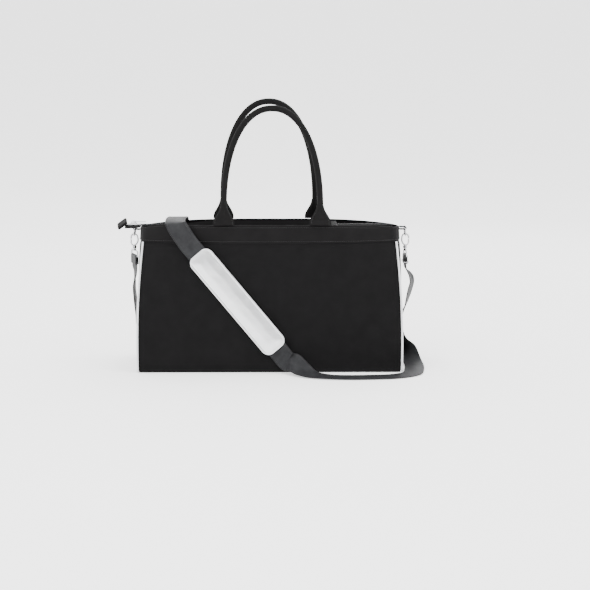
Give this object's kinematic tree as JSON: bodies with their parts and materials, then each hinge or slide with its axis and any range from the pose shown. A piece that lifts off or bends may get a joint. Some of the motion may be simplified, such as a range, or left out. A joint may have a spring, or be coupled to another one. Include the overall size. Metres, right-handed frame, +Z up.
{
  "type": "changing bag",
  "caption": "Large zip-top tote bag in black padded fabric with rolled handles, silver piping and a clip-on shoulder strap with a silver pad.",
  "frame": {"origin": "middle of the flat base, where the bag stands", "axes": "+Z up, +X to the bag's right seen from the front, -Y out of the front, where the strap's pad lies"},
  "size_m": [0.5942, 0.2741, 0.5138],
  "materials": {
    "black_neoprene": "matt knitted neoprene, very dark neutral black",
    "lining_fabric": "smooth woven lining, black",
    "strap_satin": "smooth satin-faced strap, black with a soft grey sheen",
    "black_webbing": "ribbed black webbing and zip tape",
    "silver_piping": "reflective silver piping cord",
    "silver_pad": "silver metallic coated leatherette with turned, stitched edges",
    "nickel": "bright nickel-plated die-cast metal",
    "zip_teeth": "black nylon coil teeth",
    "base_board": "black stiffener board"
  },
  "bodies": {
    "root": {"base_panel": "black_neoprene", "base_board": "base_board", "front_panel": "black_neoprene", "rear_panel": "black_neoprene", "left_gusset": "black_neoprene", "right_gusset": "black_neoprene", "front_top_band": "black_neoprene", "rear_top_band": "black_neoprene", "front_left_piping": "silver_piping", "front_right_piping": "silver_piping", "rear_left_piping": "silver_piping", "rear_right_piping": "silver_piping", "lining": "lining_fabric", "left_zip_end_panel": "black_neoprene", "right_zip_end_panel": "black_neoprene", "zip_tail_tape": "black_webbing", "zip_end_tape": "black_webbing", "zip_tail_chain": "zip_teeth", "zip_end_chain": "zip_teeth", "zip_end_tab": "black_webbing", "left_ring_tab": "black_webbing", "right_ring_tab": "black_webbing", "left_swivel_loop": "nickel", "right_swivel_loop": "nickel", "left_strap_end": "strap_satin", "right_strap_end": "strap_satin", "shoulder_strap": "strap_satin"},
    "front_handle": {"front_handle": "black_neoprene", "front_handle_tab_left": "black_neoprene", "front_handle_tab_right": "black_neoprene"},
    "rear_handle": {"rear_handle": "black_neoprene", "rear_handle_tab_left": "black_neoprene", "rear_handle_tab_right": "black_neoprene"},
    "front_zip_flap": {"front_zip_panel": "black_neoprene", "front_zip_teeth": "zip_teeth"},
    "rear_zip_flap": {"rear_zip_panel": "black_neoprene", "rear_zip_teeth": "zip_teeth"},
    "slider": {"zip_slider": "nickel", "zip_slider_bridge": "nickel"},
    "puller": {"zip_puller": "nickel"},
    "left_ring": {"left_d_ring": "nickel"},
    "right_ring": {"right_d_ring": "nickel"},
    "left_hook": {"left_snap_hook": "nickel"},
    "right_hook": {"right_snap_hook": "nickel"},
    "left_gate": {"left_hook_gate": "nickel"},
    "right_gate": {"right_hook_gate": "nickel"},
    "pad": {"shoulder_pad": "silver_pad"},
    "adjuster": {"right_strap_adjuster": "nickel"}
  },
  "joints": [
    {"name": "zip_slide", "type": "slide", "parent": "root", "child": "slider", "axis": [1, 0, 0], "range_m": [0, 0.445]},
    {"name": "zip_puller_flip", "type": "hinge", "parent": "slider", "child": "puller", "pos_m": [-0.2621, 0, 0.2786], "axis": [0, -1, 0], "range_deg": [0, 150]},
    {"name": "front_zip_panel_fold", "type": "hinge", "parent": "root", "child": "front_zip_flap", "pos_m": [0, -0.064, 0.274], "axis": [1, 0, 0], "range_deg": [0, 68]},
    {"name": "rear_zip_panel_fold", "type": "hinge", "parent": "root", "child": "rear_zip_flap", "pos_m": [0, 0.064, 0.274], "axis": [-1, 0, 0], "range_deg": [0, 68]},
    {"name": "front_handle_fold", "type": "hinge", "parent": "root", "child": "front_handle", "pos_m": [0, -0.0754, 0.2784], "axis": [1, 0, 0], "range_deg": [-4, 160]},
    {"name": "rear_handle_fold", "type": "hinge", "parent": "root", "child": "rear_handle", "pos_m": [0, 0.0754, 0.2784], "axis": [-1, 0, 0], "range_deg": [-4, 150]},
    {"name": "left_d_ring_swing", "type": "hinge", "parent": "root", "child": "left_ring", "pos_m": [-0.26, 0, 0.2665], "axis": [0, 1, 0], "range_deg": [-4, 4]},
    {"name": "right_d_ring_swing", "type": "hinge", "parent": "root", "child": "right_ring", "pos_m": [0.26, 0, 0.2665], "axis": [0, 1, 0], "range_deg": [-4, 4]},
    {"name": "left_hook_swivel", "type": "hinge", "parent": "root", "child": "left_hook", "pos_m": [-0.26159, 0, 0.227], "axis": [0, 0, 1], "range_deg": [-25, 25]},
    {"name": "right_hook_swivel", "type": "hinge", "parent": "root", "child": "right_hook", "pos_m": [0.26159, 0, 0.227], "axis": [0, 0, 1], "range_deg": [-25, 25]},
    {"name": "left_gate_press", "type": "hinge", "parent": "left_hook", "child": "left_gate", "pos_m": [-0.26754, 0, 0.236], "axis": [0, 1, 0], "range_deg": [0, 25], "stiffness_Nm_per_rad": 0.02, "springref_deg": -5.73},
    {"name": "right_gate_press", "type": "hinge", "parent": "right_hook", "child": "right_gate", "pos_m": [0.26754, 0, 0.236], "axis": [0, -1, 0], "range_deg": [0, 25], "stiffness_Nm_per_rad": 0.02, "springref_deg": -5.73},
    {"name": "pad_slide", "type": "slide", "parent": "root", "child": "pad", "axis": [0.6419, -0.0742, -0.7632], "range_m": [-0.014, 0.012]},
    {"name": "adjuster_slide", "type": "slide", "parent": "root", "child": "adjuster", "axis": [0, 0, -1], "range_m": [-0.0015, 0.0035]}
  ],
  "couplings": [
    {"joint": "front_zip_panel_fold", "follows": "zip_slide", "rad_per_m": 2.667},
    {"joint": "rear_zip_panel_fold", "follows": "zip_slide", "rad_per_m": 2.667}
  ]
}
